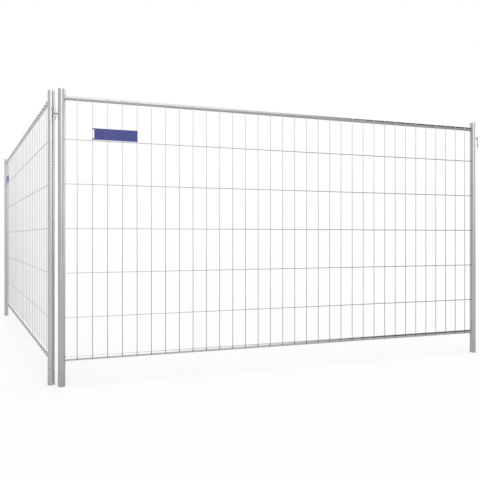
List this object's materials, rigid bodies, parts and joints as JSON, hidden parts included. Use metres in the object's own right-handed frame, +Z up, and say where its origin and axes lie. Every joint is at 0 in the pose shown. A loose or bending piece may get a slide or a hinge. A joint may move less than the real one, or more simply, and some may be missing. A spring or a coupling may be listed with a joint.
{
  "type": "temporary fence gate",
  "caption": "Welded-mesh temporary fence panels of galvanised tube, hooked together at a corner so that one swings on the other as a gate.",
  "frame": {"origin": "on the ground, in the middle of the box around both panels", "axes": "+X along the leaf from its hinge side to its free side, +Y from the leaf's outer face to the inside of the corner, +Z up"},
  "size_m": [4.2746, 3.4689, 2],
  "materials": {
    "galvanised_tube": "hot-dip galvanised",
    "galvanised_wire": "galvanised drawn wire",
    "galvanised_fitting": "hot-dip galvanised",
    "painted_sheet": "blue enamel on sheet steel"
  },
  "bodies": {
    "fixed_panel": {"fixed_eye_post": "galvanised_tube", "fixed_hook_post": "galvanised_tube", "fixed_drain_plugs": "galvanised_fitting", "fixed_top_rail": "galvanised_tube", "fixed_bottom_rail": "galvanised_tube", "fixed_vertical_wires": "galvanised_wire", "fixed_horizontal_wire_1": "galvanised_wire", "fixed_horizontal_wire_2": "galvanised_wire", "fixed_horizontal_wire_3": "galvanised_wire", "fixed_horizontal_wire_4": "galvanised_wire", "fixed_horizontal_wire_5": "galvanised_wire", "fixed_hook": "galvanised_fitting", "fixed_eye": "galvanised_fitting", "fixed_sign_plate": "painted_sheet"},
    "gate_leaf": {"leaf_eye_post": "galvanised_tube", "leaf_hook_post": "galvanised_tube", "leaf_drain_plugs": "galvanised_fitting", "leaf_top_rail": "galvanised_tube", "leaf_bottom_rail": "galvanised_tube", "leaf_vertical_wires": "galvanised_wire", "leaf_horizontal_wire_1": "galvanised_wire", "leaf_horizontal_wire_2": "galvanised_wire", "leaf_horizontal_wire_3": "galvanised_wire", "leaf_horizontal_wire_4": "galvanised_wire", "leaf_horizontal_wire_5": "galvanised_wire", "leaf_hook": "galvanised_fitting", "leaf_eye": "galvanised_fitting", "leaf_sign_plate": "painted_sheet"}
  },
  "joints": [
    {"name": "leaf_swing", "type": "hinge", "parent": "fixed_panel", "child": "gate_leaf", "pos_m": [-1.37727, -1.71048, 1.834], "axis": [0, 0, 1], "range_deg": [-195, 63]}
  ]
}
